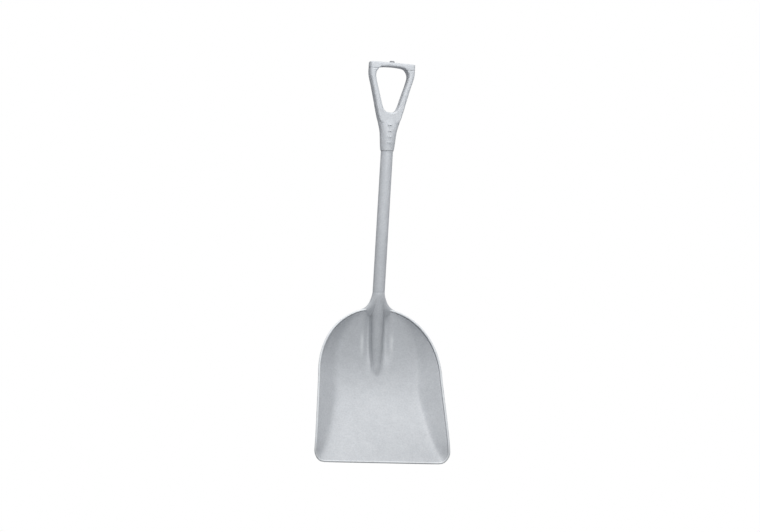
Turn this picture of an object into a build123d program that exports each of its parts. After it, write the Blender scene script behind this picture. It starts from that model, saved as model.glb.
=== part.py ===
"""Grain scoop shovel: moulded scoop blade, tubular shaft and a Y grip, as separate pieces.

The blade is drawn with its floor flat and its front edge at Y = 0. The handle is drawn with
the shaft along Z, then set into the blade's collar. Last, the tool is laid on its back.
"""
from build123d import *
import math
import os

# Blade, seen from above
blade_length = 404.0          # front edge to the back of the rim
blade_width = 356.0           # across the rim at the front
shoulder_width = 331.0        # across the rim where the back arch begins
arch_depth = 190.0            # from that shoulder to the back edge
front_corner_radius = 26.0
arch_power = 2.12             # 2 is an ellipse, more is squarer

# Blade, seen from the side
wall = 4.2                    # moulded wall thickness
floor_flat = 0.4              # extra thickness that trues the underside of the floor flat
rim_lip_height = 5.0          # rim height at the very front edge
rim_front_height = 28.0       # rim height the side walls climb to just behind the front edge
rim_back_height = 88.0
rim_climb = 22.0              # distance over which the side walls rise from the front lip
side_slope = 0.9              # rise over run of the side walls
ramp_length = 222.0           # back ramp, from the heel of the floor to the back edge
ramp_power = 1.5              # 1 is a flat ramp, 2 a full dish
fold_blend = 4.5              # softness of the fold between floor and side walls

# Shallow hollow on each side of the frog ridge
trough_depth = 4.5
trough_offset = 27.0
trough_spread = 10.0
trough_starts = 142.0         # front end, measured from the back edge
trough_stops = 16.0           # back end, measured the same way

# Rolled rim bead and front lip
bead_width = 5.5
bead_thickness = 4.5
bead_stand = 1.6              # how far the bead stands above the wall it edges
lip_width = 4.5
lip_stand = 1.0

# Shaft
shaft_lift = 32.0             # degrees the shaft rises from the blade floor
collar_height = 82.0          # shaft axis above the floor, at the back of the rim
sleeve_diameter = 32.0
core_diameter = 25.4
core_wall = 2.0
slide_fit = 0.15              # radial clearance between tubes and their sockets
overall_length = 1045.0       # front edge to the top of the hand bar, in a straight line

# Collar and socket moulded with the blade
collar_wall = 1.5             # the collar stands this far out from the sleeve
collar_top = 42.0             # collar end, up the shaft from the back of the rim
socket_depth = 42.0           # socket end, down the shaft from the back of the rim
flare_width = 108.0           # width of the collar flare where it meets the rim
ridge_length = 161.0          # frog ridge, from its front tip to the back edge

# Y grip, as distances down from the top of the hand bar
grip_length = 231.0
grip_width = 122.0
grip_wall = 3.3               # the arms are this much deeper than the sleeve, each side
grip_edge_radius = 6.0
arm_shoulder_at = 43.0        # arms run straight from here down to the neck
arm_width = 19.0
neck_side_wall = 4.3          # neck wall around the sleeve at the sides
neck_front_wall = 2.6         # and at the front and back
neck_end_wall = 1.8           # and at its thin lower end
neck_socket_depth = 58.0
neck_splay_at = 184.0         # arms and neck meet here
neck_splay = 2.4              # how much wider the neck has grown there, each side
crotch_at = 134.0             # bottom of the hand opening
crotch_radius = 17.5
opening_corner = 35.4         # half width of the opening at the bar seam
bar_thickness = 11.0
bar_end_thickness = 17.0
bar_crown = 1.2               # rise of the bar's top between its ends
rib_count = 4
rib_pitch = 15.3
rib_top_at = 164.0
rib_stand = 0.9
rib_width = 11.0
rib_height = 4.2
rib_root = 3.0                # how far each rib reaches into the neck
bar_edge_radius = 4.5

# Fastenings
pin_diameter = 5.0
pin_recess = 0.7              # pins end this far below the surface
collar_pin_at = 26.0
neck_pin_pitch = 18.0
dowel_diameter = 8.0
dowel_length = 26.0
button_diameter = 13.0
button_height = 5.0
button_stem = 6.0
button_hold = 7.0             # depth of the button's stem in the bar
button_edge_radius = 2.2
plug_length = 22.0
plug_flange = 3.0

# Values that follow from the sizes above
half_width = blade_width / 2
half_shoulder = shoulder_width / 2
shoulder_at = blade_length - arch_depth
heel_at = blade_length - ramp_length
trough_front = blade_length - trough_starts
trough_back = blade_length - trough_stops
ridge_tip_at = blade_length - ridge_length
collar_diameter = sleeve_diameter + 2 * collar_wall
neck_width = sleeve_diameter + 2 * neck_side_wall
neck_depth = sleeve_diameter + 2 * neck_front_wall
neck_end_width = sleeve_diameter + 2 * neck_end_wall
neck_splay_width = neck_width + 2 * neck_splay
grip_depth = sleeve_diameter + 2 * grip_wall
lift = math.radians(shaft_lift)
along = Vector(0, math.cos(lift), math.sin(lift))
upward = Vector(0, -math.sin(lift), math.cos(lift))
collar_point = Vector(0, blade_length, collar_height)
reach = collar_point.dot(along)
bar_top = -reach + math.sqrt(reach ** 2 + overall_length ** 2 - collar_point.length ** 2)
neck_end = bar_top - grip_length
socket_top = neck_end + neck_socket_depth
seam_at = bar_top - bar_end_thickness
core_bore = core_diameter / 2 + slide_fit
neck_bore = sleeve_diameter / 2 + slide_fit
half_grip = grip_width / 2
half_depth = grip_depth / 2
upward_from_base = (Align.CENTER, Align.CENTER, Align.MIN)


# ---- shape of the dish -------------------------------------------------------------------
def rim_height(y):
    """Height of the top of the side wall at distance y from the front edge."""
    climb = 1 - math.exp(-max(y, 0.0) / rim_climb)
    steady = rim_front_height + (rim_back_height - rim_front_height) * y / blade_length
    return rim_lip_height + (steady - rim_lip_height) * climb


def rim_half_width(y):
    """Half width of the rim at distance y in front of the shoulder."""
    side = half_width + (half_shoulder - half_width) * max(y, 0.0) / shoulder_at
    if y >= front_corner_radius:
        return side
    cut = front_corner_radius - max(y, 0.0)
    return side - front_corner_radius + math.sqrt(front_corner_radius ** 2 - cut ** 2)


def inside_rim(x, y):
    """Distance in from the rim, measured toward the middle of the blade."""
    if y <= shoulder_at:
        return rim_half_width(y) - abs(x)
    back = (y - shoulder_at) / arch_depth
    gauge = ((abs(x) / half_shoulder) ** arch_power + back ** arch_power) ** (1 / arch_power)
    return math.hypot(x, y - shoulder_at) * (1 / gauge - 1)


def ramp_height(y):
    """Height of the floor and of the back ramp it curves up into."""
    run = max(0.0, (y - heel_at) / (blade_length - heel_at))
    return wall + (rim_back_height - wall) * run ** ramp_power


def dish_height(x, y):
    """Height of the carrying surface: floor, back ramp and side walls, blended."""
    ramp = ramp_height(y)
    side = rim_height(y) - side_slope * inside_rim(x, y)
    both = (ramp + side + math.hypot(ramp - side, fold_blend)) / 2
    window = 1 / (1 + math.exp((trough_front - y) / 9)) / (1 + math.exp((y - trough_back) / 6))
    hollow = math.exp(-(((abs(x) - trough_offset) / trough_spread) ** 2))
    return both - trough_depth * window * hollow


def under_dish(drop):
    """Solid that fills everything below the carrying surface lowered by drop."""
    xs = [half_width * 1.06 * (i / 24 - 1) for i in range(49)]
    ys = [-14 + (blade_length + 34) * j / 52 for j in range(53)]
    rows = [[(x, y, dish_height(x, y) - drop) for y in ys] for x in xs]
    sheet = Face.make_surface_from_array_of_points(rows, tol=0.05)
    return Solid.extrude(sheet, (0, 0, -260))


def rim_outline(inset):
    """Plan outline of the blade, moved in from the rim by inset."""
    arch = []
    for i in range(25):
        c, s = math.cos(math.pi * i / 24), math.sin(math.pi * i / 24)
        across = math.copysign(abs(c) ** (2 / arch_power), c)
        back = s ** (2 / arch_power)
        arch.append(((half_shoulder - inset) * across, shoulder_at + (arch_depth - inset) * back))
    radius = front_corner_radius - inset
    corner = half_width - inset
    with BuildSketch() as outline:
        with BuildLine():
            back = Spline(*arch)
            right = Line(back @ 0, (corner, inset + radius))
            left = Line(back @ 1, (-corner, inset + radius))
            RadiusArc(right @ 1, (corner - radius, inset), radius)
            RadiusArc(left @ 1, (radius - corner, inset), -radius)
            Line((radius - corner, inset), (corner - radius, inset))
        make_face()
    return outline.sketch


def on_shaft(s, raised=0.0):
    """Plane square to the shaft, s up the shaft from the back of the rim."""
    origin = collar_point + along * s + upward * raised
    return Plane(origin=origin, x_dir=(-1, 0, 0), z_dir=along)


def shaft_rod(radius, start, end):
    return extrude(on_shaft(start) * Circle(radius), end - start)


def shaft_tube(radius, bore, start, end):
    return shaft_rod(radius, start, end) - shaft_rod(bore, start, end)


# ---- scoop blade -------------------------------------------------------------------------
below = under_dish(wall + floor_flat)
shell = extrude(rim_outline(bead_width / 4), 200) & under_dish(0.0)
shell -= below

# Bead: a ring in plan, kept only where it follows the rim height seen from the side.
ring = extrude(rim_outline(0) - rim_outline(bead_width), 200)
stations = [(blade_length + 8) * (i / 20) ** 1.5 - 2 for i in range(21)]
bead_top = [(y, rim_height(y) + bead_stand) for y in stations]
bead_foot = [(y, z - bead_thickness) for y, z in reversed(bead_top)]
with BuildSketch(Plane.YZ) as band:
    with BuildLine():
        upper = Spline(*bead_top)
        lower = Spline(*bead_foot)
        Line(upper @ 1, lower @ 0)
        Line(lower @ 1, upper @ 0)
    make_face()
bead = ring & extrude(band.sketch, blade_width, both=True)

# Front lip: a low strip along the front edge between the two ends of the bead.
lip = Pos(0, lip_width / 2, (wall + lip_stand) / 2) * Box(
    blade_width - 2 * front_corner_radius, lip_width, wall + lip_stand
)

# Frog ridge: the line of the shaft carried on down the ramp to a fine tip, open beneath.
ridge_line = [
    (blade_length, collar_height, collar_diameter / 2, 31),
    (blade_length - 52.0, 53.5, 16.2, 27),
    (blade_length - 100.0, 32.5, 13.4, 23),
    (blade_length - 134.0, 19.2, 9.8, 19),
    (ridge_tip_at, 11.2, 4.8, 16),
]
ridge_skin = []
ridge_hollow = []
for y, z, radius, rise in ridge_line:
    square = Plane(
        origin=(0, y, z),
        x_dir=(-1, 0, 0),
        z_dir=(0, math.cos(math.radians(rise)), math.sin(math.radians(rise))),
    )
    ridge_skin.append(square * Circle(radius))
    ridge_hollow.append(square * Circle(max(radius - wall, 1.2)))
ridge = loft(ridge_skin) - below

# Collar: a flare from the rim up onto the shaft, over the socket that holds the core tube.
flare = loft([
    on_shaft(s, raised) * Ellipse(across, through) for s, raised, across, through in (
        (-17, 4.6, flare_width / 2, 1.9),
        (-7, 5.4, flare_width / 2 - 1.0, 4.0),
        (4, 4.6, 34.0, 8.0),
        (15, 2.8, collar_diameter / 2 + 8.0, collar_diameter / 2 - 5.0),
        (28, 0.8, collar_diameter / 2 + 2.9, collar_diameter / 2 - 1.1),
        (collar_top, 0.0, collar_diameter / 2, collar_diameter / 2),
    )
])
blade = shell + bead + lip + ridge + flare - loft(ridge_hollow)
blade += shaft_rod(core_diameter / 2 + wall, -socket_depth, collar_top)
blade -= shaft_rod(core_bore, -socket_depth - 60, collar_top)
blade &= Pos(0, blade_length / 2, 0) * Box(
    2 * blade_width, 2 * blade_length, 300, align=upward_from_base
)

# ---- shaft -------------------------------------------------------------------------------
sleeve = shaft_tube(sleeve_diameter / 2, core_bore, collar_top, socket_top)
plug_radius = core_diameter / 2 - core_wall
core = shaft_tube(core_diameter / 2, plug_radius, -socket_depth, socket_top)
foot_plug = shaft_rod(plug_radius, -socket_depth, plug_length - socket_depth)
foot_plug += shaft_rod(core_diameter / 2, -socket_depth - plug_flange, -socket_depth)
head_plug = shaft_rod(plug_radius, socket_top - plug_length, socket_top)
head_plug += shaft_rod(core_diameter / 2, socket_top, socket_top + plug_flange)

# ---- grip yoke, drawn in front view with the shaft along Z ----------------------------------
neck_line = [
    (neck_end_width / 2, neck_end),
    (neck_width / 2 - 1.0, neck_end + 12),
    (neck_width / 2, neck_end + 24),
    (neck_splay_width / 2, bar_top - neck_splay_at),
]
arm_foot = neck_line[-1]
arm_head = (half_grip - 0.5, bar_top - arm_shoulder_at)
arm_run = (arm_head[0] - arm_foot[0], arm_head[1] - arm_foot[1])
crotch_side = (crotch_radius, bar_top - crotch_at + 10)
inner_head = (half_grip - arm_width, bar_top - arm_shoulder_at + 1)
opening_run = (inner_head[0] - crotch_side[0], inner_head[1] - crotch_side[1])


def mirrored(points):
    return [(-x, z) for x, z in points]


with BuildSketch(Plane.XZ) as yoke_front:
    with BuildLine():
        for flip in (lambda p: p, mirrored):
            neck = Spline(*flip(neck_line), tangents=flip([(0.35, 1), arm_run]))
            Line(*flip([arm_foot, arm_head]))
            Spline(*flip([arm_head, (half_grip, seam_at)]), tangents=flip([arm_run, (0, 1)]))
        Line((-neck_end_width / 2, neck_end), (neck_end_width / 2, neck_end))
        Line((-half_grip, seam_at), (half_grip, seam_at))
    make_face()
    with BuildLine():
        for flip in (lambda p: p, mirrored):
            Spline(
                *flip([(0, bar_top - crotch_at), crotch_side]),
                tangents=flip([(1, 0), opening_run]),
            )
            Line(*flip([crotch_side, inner_head]))
            Spline(
                *flip([inner_head, (opening_corner, seam_at)]),
                tangents=flip([opening_run, (-1.0, 1.0)]),
            )
            Line(*flip([(opening_corner, seam_at), (opening_corner, bar_top)]))
        Line((-opening_corner, bar_top), (opening_corner, bar_top))
    make_face(mode=Mode.SUBTRACT)
side_line = [
    (neck_end_width / 2, neck_end),
    (neck_depth / 2 - 0.5, neck_end + 12),
    (neck_depth / 2, neck_end + 24),
    (neck_depth / 2 + 0.3, bar_top - neck_splay_at),
    (half_depth, bar_top - crotch_at),
    (half_depth, seam_at),
]
with BuildSketch(Plane.YZ) as yoke_side:
    with BuildLine():
        front = Spline(*side_line)
        rear = Spline(*mirrored(side_line))
        Line(front @ 0, rear @ 0)
        Line(front @ 1, rear @ 1)
    make_face()
round_off = loft([
    Plane.XY.offset(z) * Ellipse(across, through) for z, across, through in (
        (neck_end, neck_end_width / 2, neck_end_width / 2),
        (neck_end + 12, neck_width / 2 - 1.0, neck_depth / 2 - 0.5),
        (neck_end + 24, neck_width / 2, neck_depth / 2),
        (bar_top - neck_splay_at, neck_splay_width / 2 + 1.8, neck_depth / 2 + 1.0),
        (bar_top - crotch_at - 26, 37.0, neck_depth / 2 + 4.4),
        (bar_top - crotch_at, 62.0, 31.0),
    )
])
round_off += Pos(0, 0, bar_top - crotch_at) * Box(
    2 * grip_width, 2 * grip_depth, crotch_at, align=upward_from_base
)
yoke = extrude(yoke_front.sketch, grip_depth, both=True)
yoke &= extrude(yoke_side.sketch, grip_width, both=True)
yoke &= round_off
arm_edges = [
    e for e in yoke.edges()
    if e.length > 80 and abs(e.center().X) > 30 and abs(e.center().Y) > 1
]
yoke = fillet(arm_edges, grip_edge_radius)

# A column of low ribs on the front of the neck, a plain grip mark.
for i in range(rib_count):
    at = bar_top - rib_top_at - rib_pitch * i
    rib = Pos(0, neck_depth / 2 + rib_stand - rib_root, at) * Box(rib_width, 2 * rib_root, rib_height)
    yoke += fillet(rib.edges().filter_by(Axis.Y), rib_height / 3)
yoke -= Pos(0, 0, neck_end) * Cylinder(
    neck_bore, neck_socket_depth + plug_flange, align=upward_from_base
)

# ---- hand bar: sits across both arm ends, arched underneath, with a button on top -------------
under_line = [
    (opening_corner, seam_at),
    (0.62 * opening_corner, bar_top - bar_thickness - 1.1),
    (0, bar_top - bar_thickness),
]
with BuildSketch(Plane.XZ) as bar_front:
    with BuildLine():
        crest = ThreePointArc(
            (-half_grip, bar_top - bar_crown), (0, bar_top), (half_grip, bar_top - bar_crown)
        )
        right_end = Line(crest @ 1, (half_grip, seam_at))
        left_end = Line(crest @ 0, (-half_grip, seam_at))
        Line(right_end @ 1, under_line[0])
        Line(left_end @ 1, (-opening_corner, seam_at))
        Spline(*under_line, *reversed(mirrored(under_line[:-1])), tangents=[(-1, 1), (-1, -1)])
    make_face()
hand_bar = extrude(bar_front.sketch, half_depth, both=True)
hand_bar = fillet(
    [e for e in hand_bar.edges().filter_by(Axis.Z) if abs(e.center().X) > half_grip - 1],
    grip_edge_radius,
)
hand_bar = fillet(hand_bar.edges().group_by(Axis.Z)[-1], bar_edge_radius)
arm_middle = (half_grip + opening_corner) / 2 + 1
dowels = [
    Pos(side * arm_middle, 0, seam_at - dowel_length / 2)
    * Cylinder(dowel_diameter / 2, dowel_length, align=upward_from_base)
    for side in (-1, 1)
]
button = Pos(0, 0, bar_top - 1.0) * Cylinder(
    button_diameter / 2, button_height + 1.0, align=upward_from_base
)
button = fillet(button.edges().group_by(Axis.Z)[-1], button_edge_radius)
button += Pos(0, 0, bar_top - button_hold) * Cylinder(
    button_stem / 2, button_hold, align=upward_from_base
)
for body in dowels:
    yoke -= body
    hand_bar -= body
hand_bar -= button


# ---- cross pins through the collar and the neck, square to the shaft ---------------------------
def cross_pin(s, length):
    return Pos(0, 0, s) * Rot(0, 90, 0) * Cylinder(pin_diameter / 2, length)


neck_pins = [
    cross_pin(neck_end + 24 + neck_pin_pitch * k, neck_width - 2 * pin_recess) for k in (0, 1)
]
collar_pin = cross_pin(collar_pin_at, collar_diameter + 1.0)

# ---- handle pieces set onto the shaft line, and the holes the pins need ------------------------
shaft_place = on_shaft(0).location
yoke, hand_bar, button, collar_pin = (shaft_place * b for b in (yoke, hand_bar, button, collar_pin))
dowels = [shaft_place * body for body in dowels]
neck_pins = [shaft_place * body for body in neck_pins]
for body in neck_pins:
    yoke -= body
    sleeve -= body
    core -= body
    head_plug -= body
blade -= collar_pin
core -= collar_pin

pieces = {
    "scoop_blade": [blade],
    "shaft_sleeve": [sleeve],
    "shaft_core_tube": [core],
    "core_foot_plug": [foot_plug],
    "core_head_plug": [head_plug],
    "collar_pin": [collar_pin],
    "grip_yoke": [yoke],
    "neck_pins": neck_pins,
    "hand_bar": [hand_bar],
    "hand_bar_dowels": dowels,
    "hand_bar_button": [button],
}


# ---- resting position --------------------------------------------------------------------
def lowest(names, turn):
    """Lowest corner of the named pieces once the tool is turned back by this many degrees."""
    boxes = [(Rot(-turn, 0, 0) * b).bounding_box() for n in names for b in pieces[n]]
    return min(b.min.Z for b in boxes)


# Turned until the heel of the blade and the hand grip come down to the same level.
lay_back = shaft_lift
for _ in range(6):
    gap = lowest(["grip_yoke", "hand_bar"], lay_back) - lowest(["scoop_blade"], lay_back)
    lay_back += math.degrees(math.atan2(gap, bar_top))
turned = {n: [Rot(-lay_back, 0, 0) * b for b in bodies] for n, bodies in pieces.items()}
boxes = [b.bounding_box() for bodies in turned.values() for b in bodies]
shift = Pos(
    -(min(b.min.X for b in boxes) + max(b.max.X for b in boxes)) / 2,
    -(min(b.min.Y for b in boxes) + max(b.max.Y for b in boxes)) / 2,
    -min(b.min.Z for b in boxes),
)
print("lay back", lay_back, "shift", shift)

os.makedirs("parts", exist_ok=True)
for name, bodies in turned.items():
    placed = []
    for body in bodies:
        placed += (shift * body).solids()
    export_step(placed[0] if len(placed) == 1 else Compound(placed), f"parts/{name}.step")
    print(name, len(placed), round(sum(b.volume for b in placed)), all(b.is_valid for b in placed))
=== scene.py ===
# %% [markdown]
# # A grain scoop shovel
#
# One white moulded scoop shovel: a deep dish of a blade, a round shaft and a Y grip with a
# hand bar. It is the kind of tool that is nearly all one colour, so the shapes and the fine
# texture of the plastic have to carry the picture.
#
# The imported CAD frame is loaded first. It gives every piece its place, in metres, with the
# tool lying on its back: +Y runs up the shaft to the grip and +Z is up.

# %% Load the frame
import bpy
import math
import numpy as np
from mathutils import Matrix, Vector


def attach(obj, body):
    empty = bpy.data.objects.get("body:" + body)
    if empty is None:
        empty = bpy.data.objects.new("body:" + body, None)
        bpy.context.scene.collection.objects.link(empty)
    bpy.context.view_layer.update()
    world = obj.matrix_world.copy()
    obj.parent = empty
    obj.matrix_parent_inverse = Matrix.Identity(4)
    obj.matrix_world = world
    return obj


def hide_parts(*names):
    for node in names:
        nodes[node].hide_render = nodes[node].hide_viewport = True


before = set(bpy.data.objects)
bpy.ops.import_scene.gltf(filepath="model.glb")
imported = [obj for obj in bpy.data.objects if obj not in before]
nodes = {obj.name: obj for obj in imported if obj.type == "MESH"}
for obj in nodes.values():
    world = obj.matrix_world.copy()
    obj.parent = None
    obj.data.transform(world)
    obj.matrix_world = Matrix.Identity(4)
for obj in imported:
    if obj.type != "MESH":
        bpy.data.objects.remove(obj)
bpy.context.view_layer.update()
print("CAD nodes:", sorted(nodes))

# %% [markdown]
# ## Two ways of measuring the same tool
#
# A scoop is easiest to describe with its floor level, but it rests with the shaft level. The
# sizes below are in millimetres, measured with the floor level: X across the blade, Y from
# the front edge to the back, Z up. `to_row` turns such points back by the resting angle and
# slides them into the frame. A second set of directions follows the shaft: s runs up the
# shaft from the back of the rim, and n stands out of the front of the tool.
#
# The same few sizes could be typed again wherever they are needed, but then a change in one
# place would leave a gap in another. Kept here once, every surface agrees with the others.

# %% Sizes and frames
BLADE_LENGTH = 404.0
HALF_WIDTH = 178.0
HALF_SHOULDER = 165.5
SHOULDER_AT = 214.0
CORNER = 26.0
ARCH_POWER = 2.12
WALL = 4.2
UNDER = 4.6
RIM_LIP, RIM_FRONT, RIM_BACK, RIM_CLIMB = 5.0, 28.0, 88.0, 22.0
SIDE_SLOPE = 0.9
HEEL_AT = 182.0
HEEL_SOFT = 0.2
FOLD_BLEND = 7.0
COLLAR_HEIGHT = 82.0
LIFT = math.radians(32.0)
BAR_TOP = 648.89
LAY_BACK = math.radians(31.786083)
SLIDE = np.array([0.0, -520.252, 160.519])
MM = 0.001


def to_row(points):
    """Turns points given with the blade floor level back by the resting angle, slides them
    into the frame and changes millimetres to metres."""
    p = np.asarray(points, float)
    c, s = math.cos(LAY_BACK), math.sin(LAY_BACK)
    turned = np.stack([p[..., 0], c * p[..., 1] + s * p[..., 2], c * p[..., 2] - s * p[..., 1]], -1)
    return (turned + SLIDE) * MM


def on_shaft(x, n, s):
    """Point x across, n out of the front and s up the shaft: the back of the rim, plus s along
    the shaft's slope, plus n square to it."""
    x, n, s = np.broadcast_arrays(x, n, s)
    y = BLADE_LENGTH + s * math.cos(LIFT) - n * math.sin(LIFT)
    z = COLLAR_HEIGHT + s * math.sin(LIFT) + n * math.cos(LIFT)
    return np.stack([x, y, z], -1)


print("grip end at", np.round(to_row(on_shaft(0, 0, BAR_TOP)), 4))

# %% [markdown]
# ## One way of making every surface
#
# Each new surface is a stack of closed rings. A ring is a closed outline, and the next ring
# is the same outline a step further along. Faces join one ring to the next, and a single
# point closes each end, so every piece is a sealed skin. Extruding a circle along a curve
# would make a tube, but here each ring may have its own size, place and roundness, and that
# is what turns a tube into a collar, an arm or a whole dish.
#
# `blend` draws a smooth line through a few sizes: between two of them it follows a cubic
# whose slopes are set by the neighbours on either side. `skin` sums the volume inside the
# faces, and if that comes out negative, the faces look inward, so it turns them round.

# %% Rings into meshes
def blend(knots, values, at):
    """Smooth curve through the values: cubic pieces whose slope at each knot is the mean slope
    of its two neighbours."""
    k, v, t = np.asarray(knots, float), np.asarray(values, float), np.asarray(at, float)
    m = np.gradient(v, k, axis=0)
    i = np.clip(np.searchsorted(k, t, side="right") - 1, 0, len(k) - 2)
    h = k[i + 1] - k[i]
    u = (t - k[i]) / h
    if v.ndim > 1:
        h, u = h[:, None], u[:, None]
    stay, go = 2 * u**3 - 3 * u**2 + 1, u**3 - 2 * u**2 + u
    end, come = 3 * u**2 - 2 * u**3, u**3 - u**2
    return stay * v[i] + go * h * m[i] + end * v[i + 1] + come * h * m[i + 1]


def skin(rings):
    """Points and faces of a stack of closed rings, shape (rings, points, 3): each four
    neighbours make a face, and the middle of the first and the last ring closes the ends."""
    n, m = rings.shape[:2]
    points = np.concatenate([rings.reshape(-1, 3), [rings[0].mean(0), rings[-1].mean(0)]])
    j = np.arange(m)
    k = (j + 1) % m
    row = np.arange(n - 1)[:, None] * m
    quads = np.stack([row + j, row + k, row + m + k, row + m + j], -1).reshape(-1, 4)
    first = np.stack([np.full(m, n * m), k, j], -1)
    last = np.stack([np.full(m, n * m + 1), (n - 1) * m + j, (n - 1) * m + k], -1)
    tris = np.concatenate([first, last])
    a, b, c, d = (points[quads[:, i]] for i in range(4))
    volume = np.einsum("ij,ij", np.cross(a, b), c) + np.einsum("ij,ij", np.cross(a, c), d)
    a, b, c = (points[tris[:, i]] for i in range(3))
    volume += np.einsum("ij,ij", np.cross(a, b), c)
    if volume < 0:
        quads, tris = quads[:, ::-1], tris[:, ::-1]
    return points, quads, tris


def piece(name, stacks, node, slot, **use):
    """One object made of several stacks of rings. use holds two masks of painted light: one where
    a highlight is painted and the tone is brighter, one where shade is painted and it is duller,
    as numbers from 0 to 1 for each ring point, or a rule that gives them from a point. They
    become attributes the materials read."""
    points, loops, sizes, start = [], [], [], 0
    for rings in stacks:
        p, quads, tris = skin(rings)
        points.append(p)
        loops += [(quads + start).ravel(), (tris + start).ravel()]
        sizes += [np.full(len(quads), 4), np.full(len(tris), 3)]
        start += len(p)
    points, loops, sizes = np.concatenate(points), np.concatenate(loops), np.concatenate(sizes)
    mesh = bpy.data.meshes.new(name)
    mesh.vertices.add(len(points))
    mesh.vertices.foreach_set("co", to_row(points).ravel())
    mesh.loops.add(len(loops))
    mesh.loops.foreach_set("vertex_index", loops)
    mesh.polygons.add(len(sizes))
    mesh.polygons.foreach_set("loop_start", np.concatenate([[0], np.cumsum(sizes)[:-1]]))
    mesh.polygons.foreach_set("use_smooth", np.ones(len(sizes), bool))
    for label in ("worn", "greyed"):
        value = np.zeros(len(points))
        if callable(use.get(label)):
            value = use[label](points)
        elif label in use:
            value[:use[label].size] = use[label].ravel()
        mesh.attributes.new(label, "FLOAT", "POINT").data.foreach_set("value", value)
    mesh.update(calc_edges=True)
    mesh.validate()
    made = bpy.data.objects.new(name, mesh)
    bpy.context.scene.collection.objects.link(made)
    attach(made, "root")
    if node:
        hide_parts(node)
    triangles = int((sizes - 2).sum())
    print(f"{name}: {len(points)} points, {triangles} triangles")
    return made


# %% [markdown]
# ## The dish
#
# The carrying surface is one height for every point of the plan. Three rules make it: the
# floor, which curves up at the heel into the back ramp; the side walls, which fall away from
# the rim at a steady slope; and a hollow on each side of the middle. The higher of floor and
# wall wins, with the change softened by a small square root, so the fold looks moulded and
# not creased. The frog ridge, which carries the line of the shaft down the ramp to a fine
# tip, is a thinning round bar laid along the shaft line and blended in the same way.
#
# Sculpting the dish by hand would give a livelier surface, but a formula keeps left and right
# alike and lets the underside be the same surface moved down by the wall thickness.

# %% Dish heights
RIDGE_AT = [232.0, 238.0, 243.0, 251.0, 270.0, 304.0, 352.0, 404.0, 420.0]
RIDGE_HEIGHT = [8.0, 9.4, 10.2, 11.8, 18.2, 32.4, 53.5, 82.0, 92.0]
RIDGE_RADIUS = [1.5, 5.0, 8.0, 11.0, 13.0, 15.0, 16.8, 17.5, 17.5]
RIDGE_TIP, RIDGE_END = RIDGE_AT[0], RIDGE_AT[-1]
HOLLOW_FROM, HOLLOW_TO, HOLLOW_DEPTH, HOLLOW_OUT, HOLLOW_WIDE = 286, 388, 7.0, 24, 9.5


def rim_height(y):
    """Top of the side wall: a steady climb from front to back, pulled down to the lip at the
    very front by a dying exponential."""
    steady = RIM_FRONT + (RIM_BACK - RIM_FRONT) * y / BLADE_LENGTH
    return RIM_LIP + (steady - RIM_LIP) * (1 - np.exp(-np.maximum(y, 0) / RIM_CLIMB))


def inside_rim(x, y):
    """Distance in from the rim: across to the side in front of the shoulder, and along the
    line to the middle of the shoulder behind it."""
    side = HALF_WIDTH + (HALF_SHOULDER - HALF_WIDTH) * np.maximum(y, 0) / SHOULDER_AT
    cut = np.clip(CORNER - np.maximum(y, 0), 0, CORNER)
    side = side - CORNER + np.sqrt(CORNER**2 - cut**2)
    back = np.maximum(y - SHOULDER_AT, 1e-6)
    gauge = (np.abs(x) / HALF_SHOULDER) ** ARCH_POWER
    gauge = (gauge + (back / (BLADE_LENGTH - SHOULDER_AT)) ** ARCH_POWER) ** (1 / ARCH_POWER)
    arch = np.hypot(x, back) * (1 / np.maximum(gauge, 1e-6) - 1)
    return np.where(y <= SHOULDER_AT, side - np.abs(x), arch)


def softer_max(a, b, softness):
    """The higher of two heights, rounded where they cross."""
    return (a + b + np.hypot(a - b, softness)) / 2


def dish(x, y, thinner=0.0):
    """Carrying surface: softened maximum of ramp and side wall, less the two hollows, then the
    ridge. thinner makes the ridge's bar slimmer, for the underside."""
    run = softer_max(0.0, (y - HEEL_AT) / (BLADE_LENGTH - HEEL_AT), HEEL_SOFT)
    ramp = WALL + (RIM_BACK - WALL) * run**1.5
    side = rim_height(y) - SIDE_SLOPE * inside_rim(x, y)
    both = softer_max(ramp, side, FOLD_BLEND)
    window = 1 / (1 + np.exp((HOLLOW_FROM - y) / 13)) / (1 + np.exp((y - HOLLOW_TO) / 6))
    both = both - HOLLOW_DEPTH * window * np.exp(-(((np.abs(x) - HOLLOW_OUT) / HOLLOW_WIDE) ** 2))
    on_ridge = np.clip(y, RIDGE_TIP, RIDGE_END)
    radius = np.maximum(blend(RIDGE_AT, RIDGE_RADIUS, on_ridge) - thinner, 0.8)
    middle = blend(RIDGE_AT, RIDGE_HEIGHT, on_ridge)
    off = np.abs(x) / radius
    bar = middle + 1.14 * radius * np.sqrt(np.maximum(1 - np.minimum(off, 0.94) ** 2, 0))
    bar = bar - 3.1 * radius * np.maximum(off - 0.94, 0) - 3 * np.maximum(RIDGE_TIP - y, 0)
    return softer_max(both, bar, 2.4)


probe = dish(np.full(3, 60.0), np.array([20.0, HEEL_AT, 390]))
print("dish height at the front, heel and back:", np.round(probe, 1))
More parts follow.
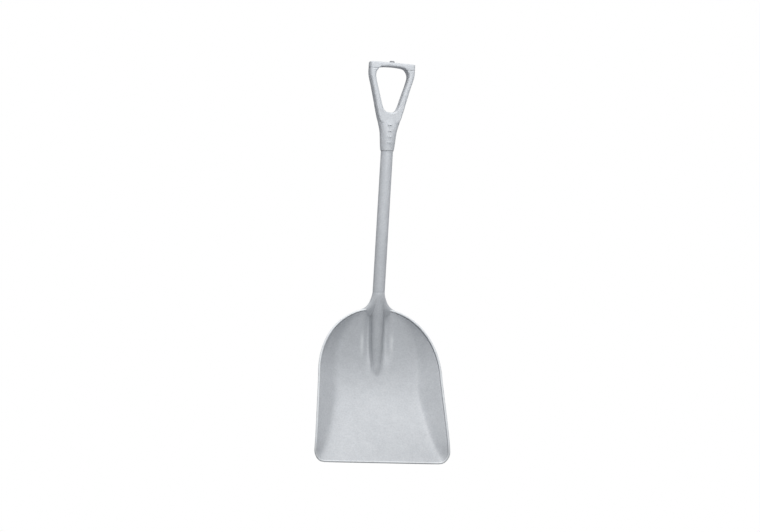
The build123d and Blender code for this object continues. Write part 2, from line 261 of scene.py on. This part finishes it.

# %% [markdown]
# ## The blade as rings round its own middle
#
# A square grid would leave a staircase along the curved rim. Rings do better: they start at a
# point in the middle of the floor and grow until they are the outline itself, then roll over
# the rim bead and shrink back along the underside. Every ring has the same rays, and the rays
# are packed close where the ridge and its hollows need them.
#
# The bead is a small rounded profile carried round the outline, square to it. It stands a
# little above the wall and overhangs it inside by a millimetre or two, and that overhang, with
# shade painted into the groove and under the bead, draws the thin dark line just inside the
# bright rim. The top and inner side of the bead, the front lip included, are painted lighter: a
# painted highlight.
#
# Some tone is painted on rather than lit. The dish is greyed toward the back, the feet of the
# ridge are darkened, more on the left, and a lighter patch lies on each side of it. That gives
# the look of one particular light, and it stays put when the lamps are moved, so under any
# other light `crease` and `bright_bank` are the two rules to turn down.

# %% Blade
MIDDLE = np.array([0.0, 205.0])


def outline(turn):
    """Outline point and outward direction for each ray. The outline is drawn once, finely, from
    the middle of the front edge round to the back, and read off by the angle of the ray."""
    a = np.linspace(-math.pi / 2, 0, 60)
    corner_at = HALF_WIDTH - CORNER
    front = np.linspace([-20, 0], [corner_at, 0], 200)[:-1]
    corner = np.stack([corner_at + CORNER * np.cos(a), CORNER + CORNER * np.sin(a)], -1)
    side = np.linspace([HALF_WIDTH, CORNER], [HALF_SHOULDER, SHOULDER_AT], 200)[1:-1]
    b = np.linspace(0, math.pi / 2, 700)
    across = HALF_SHOULDER * np.cos(b).clip(0) ** (2 / ARCH_POWER)
    depth = (BLADE_LENGTH - SHOULDER_AT) * np.sin(b) ** (2 / ARCH_POWER)
    arch = np.stack([across, SHOULDER_AT + depth], -1)
    line = np.concatenate([front, corner, side, arch, arch[-2:-1] * [-1, 1]])
    step = np.gradient(line, axis=0)
    out = np.stack([step[:, 1], -step[:, 0]], -1)
    out /= np.linalg.norm(out, axis=1, keepdims=True)
    angle = np.arctan2(line[:, 0], line[:, 1] - MIDDLE[1]) % (2 * math.pi)
    order = np.argsort(angle)
    reach = np.hypot(line[:, 0], line[:, 1] - MIDDLE[1])[order]
    flip = np.where(turn < 0, -1.0, 1.0)
    t = np.abs(turn)
    sin, cos = np.sin(t), np.cos(t)
    far = np.interp(t, angle[order], reach)
    nx, ny = (np.interp(t, angle[order], out[order, i]) for i in (0, 1))
    size = np.hypot(nx, ny)
    point = np.stack([flip * sin * far, MIDDLE[1] + cos * far], -1)
    return point, np.stack([flip * nx / size, ny / size], -1)


zones = [(0, 8, 46), (8, 34, 58), (34, 60, 24), (60, 92, 24), (92, 131, 26),
         (131, 142, 16), (142, 180, 20)]
half = np.radians(np.concatenate([np.linspace(a, b, n, endpoint=False) for a, b, n in zones]))
rays = np.concatenate([half, [math.pi], -half[:0:-1]])
rim, outward = outline(rays)
rim_z = rim_height(rim[:, 1])

BEAD_WIDE, BEAD_TALL, BEAD_STAND = 2.75, 2.25, 1.6
blade_rings, worn_rings, greyed_rings = [], [], []


def back_shade(points):
    """Shade painted on the dish: greying that grows from the middle of the floor to the rim and
    dies away up the shaft, two smooth steps along the tool."""
    back = np.clip((points[:, 1] - 120) / 250, 0, 1)
    away = np.clip((points[:, 1] - 404) / 45, 0, 1)
    return 0.37 * back**2 * (3 - 2 * back) * (1 - away**2 * (3 - 2 * away))


def along(y, start, end, soft):
    """1 between two places along the blade and 0 outside them, changing over a few
    millimetres."""
    return 1 / (1 + np.exp((start - y) / soft)) / (1 + np.exp((y - end) / soft))


def crease(x, y):
    """Shade painted on the ridge and along its feet: a plateau as wide as the ridge and a bell
    across each foot, fuller on the left."""
    foot = blend(RIDGE_AT, RIDGE_RADIUS, np.clip(y, RIDGE_TIP, RIDGE_END)) + 1.5
    bell = np.exp(-(((np.abs(x) - foot) / 3.4) ** 2)) * np.where(x < 0, 0.9, 0.36)
    return along(y, 256, 396, 5) * (bell + 0.22 / (1 + np.exp((np.abs(x) - foot) / 2)))


def bright_bank(x, y):
    """Lighter tone painted on the outer bank of each hollow, in place of a highlight: a bell
    across, between two places along."""
    return 0.7 * along(y, 300, 338, 7) * np.exp(-(((np.abs(x) - 40) / 4.4) ** 2))


def ring(xy, z, worn, greyed):
    """Adds one ring to the blade, with its two masks."""
    blade_rings.append(np.column_stack([xy, z]))
    worn_rings.append(np.full(len(rays), 1.0) * worn)
    greyed_rings.append(np.full(len(rays), 1.0) * greyed)


# Floor rings: painted highlight on the banks of the hollows, painted shade toward the back and at the
# feet of the ridge.
inner_edge = rim - outward * 7.0
for reach in np.linspace(0, 1, 100)[1:]:
    xy = MIDDLE + (inner_edge - MIDDLE) * reach
    x, y = xy.T
    ring(xy, dish(x, y), bright_bank(x, y), back_shade(xy) + crease(x, y))
# The groove just inside the bead is greyed: painted shade, part of the dark line inside the rim.
for inset, groove in ((6.2, 0.5), (5.5, 1.1), (4.9, 1.2)):
    xy = rim - outward * inset
    ring(xy, dish(xy[:, 0], xy[:, 1]) - groove * np.clip(rim[:, 1] / 30, 0, 1), 0.0, 0.5)
# Round the bead: top and inner side painted lighter, a painted highlight; lower faces, under the inner
# overhang and under the outer lip, painted grey, a painted shade.
for at in np.radians([-50, -30, -10, 10, 30, 50, 70, 90, 110, 130, 150, 170, 190, 215, 250]):
    xy = rim - outward * (BEAD_WIDE + BEAD_WIDE * math.cos(at))
    z = rim_z + BEAD_STAND - BEAD_TALL + BEAD_TALL * math.sin(at)
    if at < math.pi / 2:
        z = np.maximum(z, dish(xy[:, 0], xy[:, 1]))
    ring(xy, z, max(0.0, math.sin(at + 0.25)) ** 0.5, 0.5 if abs(at - 1.7) > 1.9 else 0.0)
# The underside rings carry a light painted shade.
outer_edge = rim - outward * 1.4
for reach in np.linspace(1, 0, 49)[:-1]:
    xy = MIDDLE + (outer_edge - MIDDLE) * reach
    ring(xy, np.maximum(dish(xy[:, 0], xy[:, 1], thinner=WALL) - UNDER, 0.0), 0.0, 0.15)
blade = piece("blade_shell", [np.array(blade_rings)], "scoop_blade", "white_plastic",
              worn=np.array(worn_rings), greyed=np.array(greyed_rings))

# %% [markdown]
# ## The collar
#
# Behind the ridge the rim draws up into a flare, and the flare closes round the shaft. Each
# ring is an ellipse square to the shaft: wide and thin where it leaves the rim, and a plain
# circle where it meets the sleeve. A few measured rings are enough, because `blend` fills in
# the rest, and the sides of the flare come out hollow the way a moulded gusset does. Below
# it, under the blade, hangs the socket that takes the core of the handle.

# %% Collar and socket
def shaft_rings(knots, places, count=96):
    """Ellipses square to the shaft. places holds for each knot: s, n of the middle, half width
    across and half thickness."""
    run = np.linspace(knots[0], knots[-1], count)
    s, n, across, through = blend(knots, places, run).T
    turn = np.linspace(0, 2 * math.pi, 96, endpoint=False)
    wide = across[:, None] * np.cos(turn)
    tall = n[:, None] + through[:, None] * np.sin(turn)
    return on_shaft(wide, tall, np.repeat(s[:, None], len(turn), 1))


flare = shaft_rings(
    [0, 1, 2, 3, 4, 5, 6, 7, 7.4],
    [(-18, 4.4, 50, 1.2), (-12, 5.0, 54.5, 2.6), (-5, 5.4, 50, 4.6), (4, 4.7, 35, 8.2),
     (15, 2.8, 25.4, 12.6), (28, 0.8, 19.6, 16.2), (36, 0, 17.2, 16.9), (41.4, 0, 16.3, 16.3),
     (42, 0, 16.04, 16.04)])
socket = shaft_rings(
    [0, 1, 2, 3, 4, 5, 6],
    [(38, 0, 16.0, 16.0), (28, 0, 17.2, 17.2), (-10, 0, 17.5, 17.5), (-40.6, 0, 16.9, 16.9),
     (-42, 0, 15.6, 15.6), (-41.4, 0, 13.2, 13.2), (-30, 0, 12.8, 12.8)])
# The collar carries the same painted shade, fading out up the shaft.
collar = piece("blade_collar", [flare, socket], "scoop_blade", "white_plastic", greyed=back_shade)

# %% [markdown]
# ## The grip
#
# The yoke is three shapes run together: a neck that goes from round, where it holds the
# shaft, to nearly square, and two arms that leave it in a Y. The arms are one band that runs
# down the left arm, round the bottom of the hand opening and up the right one. Its inner and
# outer edges are given side by side, and each pair makes one rounded rectangle.
#
# Joined only by pushing them into each other, neck and band would meet in a hard line. A
# voxel remesh melts them into one skin, and a little smoothing takes the voxel steps out,
# which leaves the soft web a moulding has there. The bar is a separate band, and the fine gap
# between bar and arms shows as the seam.

# %% Yoke
def rounded_box(width, depth, corner, points=9):
    """Rounded rectangles, one per station: corner arcs of the given radius, joined. width and
    depth are half sizes; corner is one radius for the +u side and one for the -u side."""
    turn = np.linspace(0, math.pi / 2, points)
    u, v = [], []
    for k, (su, sv) in enumerate([(1, 1), (-1, 1), (-1, -1), (1, -1)]):
        r = corner[:, 0 if su > 0 else 1][:, None]
        arc = turn if k in (0, 2) else turn[::-1]
        u.append(su * (width[:, None] - r + r * np.cos(arc)))
        v.append(sv * (depth[:, None] - r + r * np.sin(arc)))
    return np.concatenate(u, 1), np.concatenate(v, 1)


def band(inner, outer, depth, corner, end=1.0):
    """Band between two lines in the plane of the grip, given as (x, s): a rounded rectangle
    from each inner point to its outer point, depth thick, with the two ends eased off."""
    middle, across = (inner + outer) / 2, (outer - inner) / 2
    width = np.linalg.norm(across, axis=1)
    across = across / width[:, None]
    u, v = rounded_box(width, depth, corner)
    flat = middle[:, None, :] + u[..., None] * across[:, None, :]
    rings = on_shaft(flat[..., 0], v, flat[..., 1])
    caps = []
    for i, j in ((0, 1), (-1, -2)):
        way = rings[i] - rings[j]
        way = way.mean(0) / np.linalg.norm(way.mean(0))
        core = rings[i].mean(0)
        cap = [rings[i] + way * end * math.sin(a) - (rings[i] - core) * (1 - math.cos(a)) * end
               / np.linalg.norm(rings[i] - core, axis=1, keepdims=True) - way * end
               for a in np.radians([25, 50, 75, 90])]
        caps.append(np.array(cap))
    return np.concatenate([caps[0][::-1], rings[1:-1], caps[1]])


HALF_DEPTH = 16.8
INNER = [(0, -131), (10, -129.5), (17, -124), (21.6, -115), (27, -97), (33, -77), (39, -57),
         (42.8, -42), (43.8, -34), (42, -25.5), (36.6, -17)]
OUTER = [(0, -166), (13, -165), (25, -158), (32.2, -140), (41.6, -103), (46.9, -82), (52.4, -61),
         (57, -45), (59.3, -35), (60.2, -26), (60.4, -17)]
place = np.arange(len(INNER), dtype=float)
fine = np.linspace(0, place[-1], 120)
inner_half, outer_half = blend(place, INNER, fine), blend(place, OUTER, fine)
both_sides = [np.concatenate([side[:0:-1] * [-1, 1], side]) for side in (inner_half, outer_half)]
inner_line, outer_line = (side + [0, BAR_TOP] for side in both_sides)
count = len(inner_line)
arms = band(inner_line, outer_line, np.full(count, HALF_DEPTH), np.tile([6.0, 5.0], (count, 1)), end=0.7)

NECK_AT = [-231, -219, -207, -192, -181, -159, -148, -141]
NECK = [(17.8, 17.8, 2.0), (19.3, 18.1, 2.0), (20.3, 18.6, 2.1), (21.3, 18.8, 2.3),
        (22.4, 18.5, 2.6), (27.8, 17.4, 3.2), (30.4, 16.7, 3.8), (31.8, 16.4, 4.2)]
up = np.linspace(-231, -141, 90)
wide, deep, power = blend(NECK_AT, NECK, up).T
turn = np.linspace(0, 2 * math.pi, 120, endpoint=False)
cos, sin = np.cos(turn), np.sin(turn)
x = wide[:, None] * np.sign(cos) * np.abs(cos) ** (2 / power[:, None])
n = deep[:, None] * np.sign(sin) * np.abs(sin) ** (2 / power[:, None])
tube = on_shaft(x, n, np.repeat(up[:, None] + BAR_TOP, len(turn), 1))
top = on_shaft(x[-1] * 0.8, n[-1] * 0.8, BAR_TOP - 139.5)
LIP = [(17.3, -231.7), (16.6, -231.6), (16.15, -230.8), (16.1, -222), (16.1, -176)]
lip = [on_shaft(r * cos, r * sin, BAR_TOP + s) for r, s in LIP]
neck = np.concatenate([[top], tube[::-1], lip])
yoke = piece("grip_skin", [arms, neck], "grip_yoke", "white_plastic")

melt = yoke.modifiers.new("melt", "REMESH")
melt.mode = "VOXEL"
melt.voxel_size = 0.95 * MM
melt.use_smooth_shade = True
ease = yoke.modifiers.new("ease", "SMOOTH")
ease.factor = 0.5
ease.iterations = 9
whole = yoke.evaluated_get(bpy.context.evaluated_depsgraph_get())
melted = bpy.data.meshes.new_from_object(whole)
yoke.modifiers.clear()
yoke.data = melted
melted.polygons.foreach_set("use_smooth", np.ones(len(melted.polygons), bool))
print("grip_skin after melting:", len(melted.polygons), "faces")

# %% [markdown]
# ## The hand bar and the grip marks
#
# The bar is a short beam: its top is nearly straight, its underside arches up between the two
# arms, and its ends are rounded in plan. A bevelled box would give the ends but not the arch.
# The marks on the neck are four small pillows, each a ball whose roundness is raised to a
# power so that it turns into a soft-cornered tile.

# %% Hand bar
HALF_GRIP, OPENING = 60.4, 36.6
ends = HALF_GRIP - np.array([0, 1.0, 1.6, 2.3, 3.1, 4.0, 5.0, 6.0, 7.2])
run = np.concatenate([-ends, np.linspace(-52, 52, 131), ends[::-1]])
size = np.abs(run)
crest = -1.2 * (size / HALF_GRIP) ** 2
arch = 11 + (size / 22) ** 2 + 3.4 * np.exp((np.minimum(size, OPENING) - OPENING) / 3.5)
under = -np.where(size < OPENING, arch, 17.0) + 0.25
easing = np.clip(1 - (1 - np.clip((HALF_GRIP - size) / 6, 0, 1)) ** 2, 0, 1) ** 0.5
depth = HALF_DEPTH - 6 * (1 - easing)
foot_round = np.where(size < OPENING, 3.8, 0.9)
line = np.column_stack([run, crest + BAR_TOP]), np.column_stack([run, under + BAR_TOP])
corners = np.column_stack([np.full(len(run), 4.6), foot_round])
bar = piece("hand_bar_skin", [band(line[1], line[0], depth, corners, end=0.8)], "hand_bar",
            "white_plastic")

MARK_HALF_WIDTH, MARK_HALF_HEIGHT, MARK_STAND, MARK_BASE = 5.5, 2.1, 1.3, 18.6
MARK_TOP, MARK_PITCH, MARK_COUNT = 164, 15.3, 4
marks = []
lift_angles = np.linspace(-math.pi / 2, math.pi / 2, 25)[1:-1]
turn_angles = np.linspace(0, 2 * math.pi, 40, endpoint=False)
a, b = np.meshgrid(lift_angles, turn_angles, indexing="ij")
for i in range(MARK_COUNT):
    flat = np.cos(a) ** 0.5
    mx = MARK_HALF_WIDTH * flat * np.sign(np.cos(b)) * np.abs(np.cos(b)) ** 0.45
    ms = MARK_HALF_HEIGHT * flat * np.sign(np.sin(b)) * np.abs(np.sin(b)) ** 0.6
    mn = MARK_BASE + MARK_STAND * np.sign(np.sin(a)) * np.abs(np.sin(a)) ** 0.8
    marks.append(on_shaft(mx, mn, ms + BAR_TOP - MARK_TOP - MARK_PITCH * i))
ribs = piece("neck_marks", marks, None, "white_plastic")

# %% [markdown]
# ## The plastic
#
# White polypropylene is not white paint. It is a little blue, a little see-through, and its
# skin carries the fine sparkle of the mould. Three effects are shared by all the plastics, so
# they live in node groups that can be reused: `grain` gives a fine stipple and a slow drift
# of tone; the second group turns the painted highlight and painted shade attributes, broken up
# by noise, into two masks. The groups hand out only masks, tones and normals. What the plastic
# is, its colour, its sheen, how it takes light, is set on the shader of each material.
#
# An image texture could hold all this, but it would need unwrapping and would blur close up.
# Noise worked out from the object's own coordinates is as fine as the camera needs.

# %% Node groups
def group(name, inputs, outputs):
    """New shader group with the named float inputs and typed outputs."""
    made = bpy.data.node_groups.new(name, "ShaderNodeTree")
    for label, value in inputs:
        socket_in = made.interface.new_socket(label, in_out="INPUT", socket_type="NodeSocketFloat")
        socket_in.default_value = value
    for label, kind in outputs:
        made.interface.new_socket(label, in_out="OUTPUT", socket_type=kind)
    return made, made.nodes.new("NodeGroupInput"), made.nodes.new("NodeGroupOutput")


def add(tree, kind, **settings):
    """New node with its properties and, for names of sockets, their values."""
    node = tree.nodes.new(kind)
    for key, value in settings.items():
        if key in node.bl_rna.properties:
            setattr(node, key, value)
        else:
            node.inputs[key.replace("_", " ")].default_value = value
    return node


def scaled(tree, source, low, high, to_low, to_high):
    """Map a value from one range to another."""
    node = add(tree, "ShaderNodeMapRange", From_Min=low, From_Max=high, To_Min=to_low, To_Max=to_high)
    tree.links.new(source, node.inputs["Value"])
    return node.outputs["Result"]


grain, g_in, g_out = group(
    "grain", [("Stipple", 1.0), ("Drift", 1.0)],
    [("Tone", "NodeSocketFloat"), ("Sheen", "NodeSocketFloat"), ("Height", "NodeSocketFloat")])
where = add(grain, "ShaderNodeTexCoord").outputs["Object"]
fleck = add(grain, "ShaderNodeTexNoise", Scale=240.0, Detail=4.0, Roughness=0.65)
cloud = add(grain, "ShaderNodeTexNoise", Scale=9.0, Detail=4.0, Roughness=0.55)
sparkle = add(grain, "ShaderNodeTexVoronoi", Scale=310.0)
streak = add(grain, "ShaderNodeTexNoise", Scale=60.0, Detail=2.0, Roughness=0.5)
for texture in (fleck, cloud, sparkle, streak):
    grain.links.new(where, texture.inputs["Vector"])
mixing = []
for texture, dial, weight in ((fleck, "Stipple", 0.42), (cloud, "Drift", 0.22),
                              (streak, "Drift", 0.16)):
    centred = add(grain, "ShaderNodeMath", operation="SUBTRACT")
    centred.inputs[1].default_value = 0.5
    grain.links.new(texture.outputs["Fac"], centred.inputs[0])
    dialled = add(grain, "ShaderNodeMath", operation="MULTIPLY")
    grain.links.new(centred.outputs[0], dialled.inputs[0])
    grain.links.new(g_in.outputs[dial], dialled.inputs[1])
    part = add(grain, "ShaderNodeMath", operation="MULTIPLY")
    part.inputs[1].default_value = weight
    grain.links.new(dialled.outputs[0], part.inputs[0])
    mixing.append(part.outputs[0])
total = mixing[0]
for extra in mixing[1:]:
    both = add(grain, "ShaderNodeMath", operation="ADD")
    grain.links.new(total, both.inputs[0])
    grain.links.new(extra, both.inputs[1])
    total = both.outputs[0]
grain.links.new(scaled(grain, total, -0.12, 0.12, 0.0, 1.0), g_out.inputs["Tone"])
grain.links.new(scaled(grain, cloud.outputs["Fac"], 0.3, 0.7, 0.30, 0.44), g_out.inputs["Sheen"])
height = add(grain, "ShaderNodeMath", operation="MULTIPLY")
grain.links.new(sparkle.outputs["Distance"], height.inputs[0])
grain.links.new(g_in.outputs["Stipple"], height.inputs[1])
grain.links.new(height.outputs[0], g_out.inputs["Height"])

painted_light, p_in, p_out = group(
    "painted_light", [("Amount", 1.0)], [("Mask", "NodeSocketFloat"), ("PaintedShade", "NodeSocketFloat")])
worn = add(painted_light, "ShaderNodeAttribute", attribute_name="worn")
patchy = add(painted_light, "ShaderNodeTexNoise", Scale=70.0, Detail=3.0, Roughness=0.6)
painted_light.links.new(add(painted_light, "ShaderNodeTexCoord").outputs["Object"], patchy.inputs["Vector"])
broken = add(painted_light, "ShaderNodeMath", operation="MULTIPLY")
painted_light.links.new(worn.outputs["Fac"], broken.inputs[0])
painted_light.links.new(scaled(painted_light, patchy.outputs["Fac"], 0.3, 0.6, 0.55, 1.0), broken.inputs[1])
amount = add(painted_light, "ShaderNodeMath", operation="MULTIPLY", use_clamp=True)
painted_light.links.new(broken.outputs[0], amount.inputs[0])
painted_light.links.new(p_in.outputs["Amount"], amount.inputs[1])
painted_light.links.new(amount.outputs[0], p_out.inputs["Mask"])
shade_attribute = add(painted_light, "ShaderNodeAttribute", attribute_name="greyed")
uneven = add(painted_light, "ShaderNodeMath", operation="MULTIPLY", use_clamp=True)
painted_light.links.new(shade_attribute.outputs["Fac"], uneven.inputs[0])
painted_light.links.new(scaled(painted_light, patchy.outputs["Fac"], 0.2, 0.6, 0.8, 1.0), uneven.inputs[1])
painted_light.links.new(uneven.outputs[0], p_out.inputs["PaintedShade"])
print("node groups:", [g.name for g in bpy.data.node_groups if g.name in ("grain", "painted_light")])

# %% [markdown]
# ## The materials
#
# Each plastic is the same recipe with its own two tones, and the grain moves the colour
# between them. The bump is tiny, about a tenth of a millimetre, because from arm's length
# the stipple should read as a satin skin and not as dents. A weak subsurface softens the
# shadows as real polyolefin does. The metal core uses the same grain stretched along the
# shaft for its drawing marks.

# %% Materials
def plastic(name, dark, light, worn_tone, specular, subsurface, stipple, drift):
    """Satin plastic: colour between two tones by the grain, with painted highlight and painted shade."""
    mat = bpy.data.materials.new(name)
    mat.use_nodes = True
    tree = mat.node_tree
    shader = tree.nodes["Principled BSDF"]
    skin_node = add(tree, "ShaderNodeGroup", node_tree=grain)
    skin_node.inputs["Stipple"].default_value = stipple
    skin_node.inputs["Drift"].default_value = drift
    light_paint = add(tree, "ShaderNodeGroup", node_tree=painted_light)
    tone = add(tree, "ShaderNodeMix", data_type="RGBA")
    tone.inputs[6].default_value = (*dark, 1)
    tone.inputs[7].default_value = (*light, 1)
    tree.links.new(skin_node.outputs["Tone"], tone.inputs["Factor"])
    # Painted shade: where the shade mask is set, the tone is multiplied toward this grey.
    shade_mix = add(tree, "ShaderNodeMix", data_type="RGBA", blend_type="MULTIPLY")
    shade_mix.inputs[7].default_value = (0.60, 0.61, 0.62, 1)
    tree.links.new(light_paint.outputs["PaintedShade"], shade_mix.inputs["Factor"])
    tree.links.new(tone.outputs[2], shade_mix.inputs[6])
    # Painted highlight: where the highlight mask is set, the tone is mixed toward a lighter one.
    highlight_mix = add(tree, "ShaderNodeMix", data_type="RGBA")
    highlight_mix.inputs[7].default_value = (*worn_tone, 1)
    tree.links.new(light_paint.outputs["Mask"], highlight_mix.inputs["Factor"])
    tree.links.new(shade_mix.outputs[2], highlight_mix.inputs[6])
    tree.links.new(highlight_mix.outputs[2], shader.inputs["Base Color"])
    tree.links.new(skin_node.outputs["Sheen"], shader.inputs["Roughness"])
    bump = add(tree, "ShaderNodeBump", Strength=0.35, Distance=0.0002)
    tree.links.new(skin_node.outputs["Height"], bump.inputs["Height"])
    tree.links.new(bump.outputs["Normal"], shader.inputs["Normal"])
    shader.inputs["Specular IOR Level"].default_value = specular
    shader.inputs["Subsurface Weight"].default_value = subsurface
    shader.inputs["Subsurface Radius"].default_value = (0.9, 1.0, 1.1)
    shader.inputs["Subsurface Scale"].default_value = 0.002
    return mat


white = plastic("white_plastic", dark=(0.56, 0.578, 0.605), light=(0.70, 0.718, 0.745),
                worn_tone=(0.82, 0.84, 0.86), specular=0.4, subsurface=0.06, stipple=1.0, drift=1.0)
pins = plastic("pin_plastic", dark=(0.48, 0.50, 0.54), light=(0.60, 0.62, 0.66),
               worn_tone=(0.8, 0.8, 0.82), specular=0.4, subsurface=0.05, stipple=0.6, drift=0.6)
grey = plastic("grey_plastic", dark=(0.20, 0.205, 0.215), light=(0.30, 0.305, 0.315),
               worn_tone=(0.45, 0.45, 0.46), specular=0.35, subsurface=0.0, stipple=0.8, drift=0.8)

metal = bpy.data.materials.new("core_metal")
metal.use_nodes = True
mt = metal.node_tree
shader = mt.nodes["Principled BSDF"]
shader.inputs["Metallic"].default_value = 1.0
stretch = add(mt, "ShaderNodeMapping")
stretch.inputs["Scale"].default_value = (900.0, 14.0, 900.0)
drawn = add(mt, "ShaderNodeTexNoise", Scale=1.0, Detail=3.0, Roughness=0.6)
mt.links.new(add(mt, "ShaderNodeTexCoord").outputs["Object"], stretch.inputs["Vector"])
mt.links.new(stretch.outputs["Vector"], drawn.inputs["Vector"])
ramp = add(mt, "ShaderNodeMix", data_type="RGBA")
ramp.inputs[6].default_value = (0.62, 0.63, 0.64, 1)
ramp.inputs[7].default_value = (0.78, 0.79, 0.80, 1)
mt.links.new(drawn.outputs["Fac"], ramp.inputs["Factor"])
mt.links.new(ramp.outputs[2], shader.inputs["Base Color"])
mt.links.new(scaled(mt, drawn.outputs["Fac"], 0.3, 0.7, 0.25, 0.42), shader.inputs["Roughness"])
marks_bump = add(mt, "ShaderNodeBump", Strength=0.2, Distance=0.0001)
mt.links.new(drawn.outputs["Fac"], marks_bump.inputs["Height"])
mt.links.new(marks_bump.outputs["Normal"], shader.inputs["Normal"])

finishes = {
    "scoop_blade": white, "shaft_sleeve": white, "grip_yoke": white, "hand_bar": white,
    "hand_bar_button": grey, "collar_pin": pins, "neck_pins": pins, "hand_bar_dowels": pins,
    "core_foot_plug": grey, "core_head_plug": grey, "shaft_core_tube": metal,
}
for name, finish in finishes.items():
    mesh = nodes[name].data
    mesh.materials.clear()
    mesh.materials.append(finish)
for made in (blade, collar, yoke, bar, ribs):
    made.data.materials.clear()
    made.data.materials.append(white)
print("materials:", sorted({m.name for m in finishes.values()}))

# %% [markdown]
# ## Floor, light and camera
#
# A catalogue picture has no horizon. The floor is a large sheet that the camera sees as plain
# white, while the tool itself only gets a dim grey bounce from it, so that the rims and the
# undersides keep their dark edges, with some shade painted on the undersides as well. The light
# is a broad soft one from the side of the grip, low enough to brighten the blade's floor and
# leave the back ramp darker; shade painted on the back of the dish darkens it further, and that
# is what shows that the dish is deep. A pale blue sky fills the shadows.
#
# The camera is described from the tool: so many degrees round to the left, so many down from
# straight overhead, a long lens far away so that the shaft stays nearly parallel.

# %% Floor
pad = bpy.data.meshes.new("floor")
REACH, DROP = 7, -0.0006
corners = [(-REACH, -REACH, DROP), (REACH, -REACH, DROP), (REACH, REACH, DROP), (-REACH, REACH, DROP)]
pad.from_pydata(corners, [], [(0, 1, 2, 3)])
floor = bpy.data.objects.new("floor", pad)
bpy.context.scene.collection.objects.link(floor)
paper = bpy.data.materials.new("floor_paper")
paper.use_nodes = True
pt = paper.node_tree
sheet = pt.nodes["Principled BSDF"]
mottle = add(pt, "ShaderNodeTexNoise", Scale=3.0, Detail=2.0, Roughness=0.5)
pt.links.new(add(pt, "ShaderNodeTexCoord").outputs["Object"], mottle.inputs["Vector"])
tint = add(pt, "ShaderNodeMix", data_type="RGBA")
tint.inputs[6].default_value = (0.46, 0.46, 0.47, 1)
tint.inputs[7].default_value = (0.52, 0.52, 0.53, 1)
pt.links.new(mottle.outputs["Fac"], tint.inputs["Factor"])
pt.links.new(tint.outputs[2], sheet.inputs["Base Color"])
sheet.inputs["Roughness"].default_value = 0.9
glow = add(pt, "ShaderNodeEmission", Strength=1.0)
seen = add(pt, "ShaderNodeMixShader")
pt.links.new(add(pt, "ShaderNodeLightPath").outputs["Is Camera Ray"], seen.inputs["Fac"])
pt.links.new(sheet.outputs["BSDF"], seen.inputs[1])
pt.links.new(glow.outputs["Emission"], seen.inputs[2])
pt.links.new(seen.outputs["Shader"], pt.nodes["Material Output"].inputs["Surface"])
pad.materials.append(paper)
print("floor laid")

# %% Light
world = bpy.data.worlds.new("world")
bpy.context.scene.world = world
world.use_nodes = True
world.node_tree.nodes["Background"].inputs["Color"].default_value = (0.94, 0.97, 1.0, 1)
world.node_tree.nodes["Background"].inputs["Strength"].default_value = 0.25


def lamp(name, kind, place, aim, energy, size, colour):
    """A soft light at a place, turned toward the point it is aimed at."""
    light = bpy.data.lights.new(name, kind)
    light.energy = energy
    light.color = colour
    if kind == "SUN":
        light.angle = size
    else:
        light.size = size
    holder = bpy.data.objects.new(name, light)
    holder.location = place
    holder.rotation_mode = "QUATERNION"
    holder.rotation_quaternion = (Vector(place) - Vector(aim)).to_track_quat("Z", "Y")
    bpy.context.scene.collection.objects.link(holder)


lamp("key", "SUN", (-0.24, 2.4, 0.68), (0, 0, 0), 1.6, math.radians(20), (1.0, 0.99, 0.97))
lamp("grip_light", "AREA", (-0.06, 0.75, 1.1), (0, 0.3, 0), 9.0, 0.8, (0.97, 0.985, 1.0))
bpy.context.scene.view_settings.view_transform = "Standard"

# %% Camera
ROUND, DOWN, ROLL = math.radians(15.557), math.radians(-29.846), math.radians(-4.81)
LENS, FAR, RIGHT, ABOVE = 1415.6 / 760 * 36, 3780.7, 10.6, 4.3
AIM = np.array([0, 520.0, 100.0])
level = math.cos(DOWN)
toward = np.array([-math.sin(ROUND) * level, math.sin(DOWN), math.cos(ROUND) * level])
right = np.array([math.cos(ROUND), 0, math.sin(ROUND)])
above = np.cross(toward, right)
right, above = (math.cos(ROLL) * right + math.sin(ROLL) * above,
                math.cos(ROLL) * above - math.sin(ROLL) * right)
eye = AIM + toward * FAR + right * RIGHT + above * ABOVE
sides = [(to_row(v) - to_row(np.zeros(3))) / MM for v in (right, above, toward)]
place_eye = to_row(eye)
turn_matrix = Matrix(np.column_stack(sides).tolist()).to_4x4()
lens = bpy.data.cameras.new("camera")
lens.sensor_width = 36.0
lens.lens = LENS
camera = bpy.data.objects.new("camera", lens)
bpy.context.scene.collection.objects.link(camera)
camera.matrix_world = Matrix.Translation(Vector(place_eye)) @ turn_matrix
bpy.context.scene.camera = camera
print("camera at", [round(v, 3) for v in place_eye])
